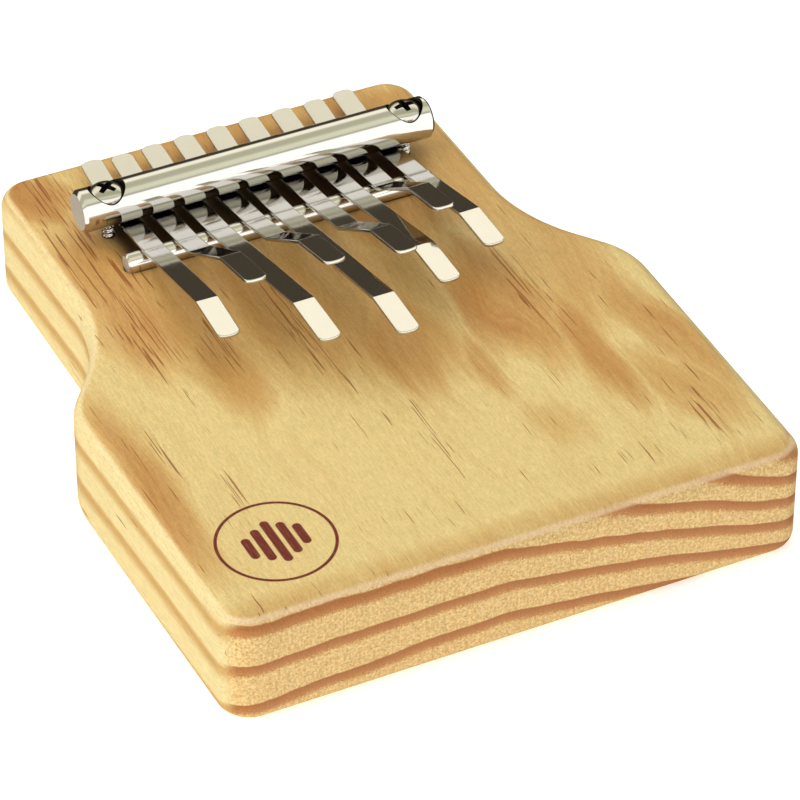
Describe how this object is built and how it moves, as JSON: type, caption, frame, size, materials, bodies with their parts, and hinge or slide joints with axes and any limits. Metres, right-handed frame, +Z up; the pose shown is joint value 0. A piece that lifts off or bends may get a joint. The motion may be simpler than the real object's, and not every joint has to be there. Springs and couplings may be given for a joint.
{
  "type": "mbira",
  "caption": "Waisted solid-wood thumb piano: flat spring tines held by a round clamp bar over two bridge rods, stepped and bent tips, rounded edges.",
  "frame": {"origin": "centre of the bounding box at the flat underside of the board", "axes": "+X along the clamp bar, +Y from the playing end to the clamped end, +Z up out of the playing face"},
  "size_m": [0.1322, 0.1602, 0.0466],
  "materials": {
    "pine": "clear satin varnish over softwood",
    "bar_nickel": "polished nickel plate",
    "rod_nickel": "polished nickel plate",
    "screw_nickel": "bright plated steel",
    "tine_steel": "polished spring steel"
  },
  "bodies": {
    "instrument": {"soundboard": "pine", "clamp_bar": "bar_nickel", "clamp_screw_left": "screw_nickel", "clamp_screw_right": "screw_nickel", "front_bridge_rod": "rod_nickel", "rear_bridge_rod": "rod_nickel"},
    "tine_1_clamped": {"tine_1_clamped_part": "tine_steel"},
    "tine_1_tongue_body": {"tine_1_tongue": "tine_steel"},
    "tine_2_clamped": {"tine_2_clamped_part": "tine_steel"},
    "tine_2_tongue_body": {"tine_2_tongue": "tine_steel"},
    "tine_3_clamped": {"tine_3_clamped_part": "tine_steel"},
    "tine_3_tongue_body": {"tine_3_tongue": "tine_steel"},
    "tine_4_clamped": {"tine_4_clamped_part": "tine_steel"},
    "tine_4_tongue_body": {"tine_4_tongue": "tine_steel"},
    "tine_5_clamped": {"tine_5_clamped_part": "tine_steel"},
    "tine_5_tongue_body": {"tine_5_tongue": "tine_steel"},
    "tine_6_clamped": {"tine_6_clamped_part": "tine_steel"},
    "tine_6_tongue_body": {"tine_6_tongue": "tine_steel"},
    "tine_7_clamped": {"tine_7_clamped_part": "tine_steel"},
    "tine_7_tongue_body": {"tine_7_tongue": "tine_steel"},
    "tine_8_clamped": {"tine_8_clamped_part": "tine_steel"},
    "tine_8_tongue_body": {"tine_8_tongue": "tine_steel"},
    "tine_9_clamped": {"tine_9_clamped_part": "tine_steel"},
    "tine_9_tongue_body": {"tine_9_tongue": "tine_steel"}
  },
  "joints": [
    {"name": "tine_1_tuning_slide", "type": "slide", "parent": "instrument", "child": "tine_1_clamped", "axis": [0.0209, 0.9998, 0], "range_m": [-0.0015, 0.0015]},
    {"name": "tine_1_pluck", "type": "hinge", "parent": "tine_1_clamped", "child": "tine_1_tongue_body", "pos_m": [-0.03018, 0.03735, 0.03075], "axis": [0.9998, -0.0209, 0], "range_deg": [-3, 5], "stiffness_Nm_per_rad": 2.92},
    {"name": "tine_2_tuning_slide", "type": "slide", "parent": "instrument", "child": "tine_2_clamped", "axis": [-0.0052, 1, 0], "range_m": [-0.0015, 0.0015]},
    {"name": "tine_2_pluck", "type": "hinge", "parent": "tine_2_clamped", "child": "tine_2_tongue_body", "pos_m": [-0.02243, 0.03735, 0.03075], "axis": [1, 0.0052, 0], "range_deg": [-3, 5], "stiffness_Nm_per_rad": 3.35},
    {"name": "tine_3_tuning_slide", "type": "slide", "parent": "instrument", "child": "tine_3_clamped", "axis": [-0.0105, 0.9999, 0], "range_m": [-0.0015, 0.0015]},
    {"name": "tine_3_pluck", "type": "hinge", "parent": "tine_3_clamped", "child": "tine_3_tongue_body", "pos_m": [-0.01486, 0.03735, 0.03075], "axis": [0.9999, 0.0105, 0], "range_deg": [-3, 5], "stiffness_Nm_per_rad": 2.24},
    {"name": "tine_4_tuning_slide", "type": "slide", "parent": "instrument", "child": "tine_4_clamped", "axis": [-0.0297, 0.9996, 0], "range_m": [-0.0015, 0.0015]},
    {"name": "tine_4_pluck", "type": "hinge", "parent": "tine_4_clamped", "child": "tine_4_tongue_body", "pos_m": [-0.0065, 0.03736, 0.03075], "axis": [0.9996, 0.0297, 0], "range_deg": [-3, 5], "stiffness_Nm_per_rad": 3.14},
    {"name": "tine_5_tuning_slide", "type": "slide", "parent": "instrument", "child": "tine_5_clamped", "axis": [0, 1, 0], "range_m": [-0.0015, 0.0015]},
    {"name": "tine_5_pluck", "type": "hinge", "parent": "tine_5_clamped", "child": "tine_5_tongue_body", "pos_m": [0.0004, 0.03735, 0.03075], "axis": [1, 0, 0], "range_deg": [-3, 5], "stiffness_Nm_per_rad": 2.01},
    {"name": "tine_6_tuning_slide", "type": "slide", "parent": "instrument", "child": "tine_6_clamped", "axis": [-0.0105, 0.9999, 0], "range_m": [-0.0015, 0.0015]},
    {"name": "tine_6_pluck", "type": "hinge", "parent": "tine_6_clamped", "child": "tine_6_tongue_body", "pos_m": [0.00864, 0.03735, 0.03075], "axis": [0.9999, 0.0105, 0], "range_deg": [-3, 5], "stiffness_Nm_per_rad": 2.83},
    {"name": "tine_7_tuning_slide", "type": "slide", "parent": "instrument", "child": "tine_7_clamped", "axis": [-0.0209, 0.9998, 0], "range_m": [-0.0015, 0.0015]},
    {"name": "tine_7_pluck", "type": "hinge", "parent": "tine_7_clamped", "child": "tine_7_tongue_body", "pos_m": [0.01708, 0.03735, 0.03075], "axis": [0.9998, 0.0209, 0], "range_deg": [-3, 5], "stiffness_Nm_per_rad": 2.7},
    {"name": "tine_8_tuning_slide", "type": "slide", "parent": "instrument", "child": "tine_8_clamped", "axis": [-0.0035, 1, 0], "range_m": [-0.0015, 0.0015]},
    {"name": "tine_8_pluck", "type": "hinge", "parent": "tine_8_clamped", "child": "tine_8_tongue_body", "pos_m": [0.02435, 0.03735, 0.03075], "axis": [1, 0.0035, 0], "range_deg": [-3, 5], "stiffness_Nm_per_rad": 4.05},
    {"name": "tine_9_tuning_slide", "type": "slide", "parent": "instrument", "child": "tine_9_clamped", "axis": [-0.0262, 0.9997, 0], "range_m": [-0.0015, 0.0015]},
    {"name": "tine_9_pluck", "type": "hinge", "parent": "tine_9_clamped", "child": "tine_9_tongue_body", "pos_m": [0.03255, 0.03735, 0.03075], "axis": [0.9997, 0.0262, 0], "range_deg": [-3, 5], "stiffness_Nm_per_rad": 3.4}
  ]
}
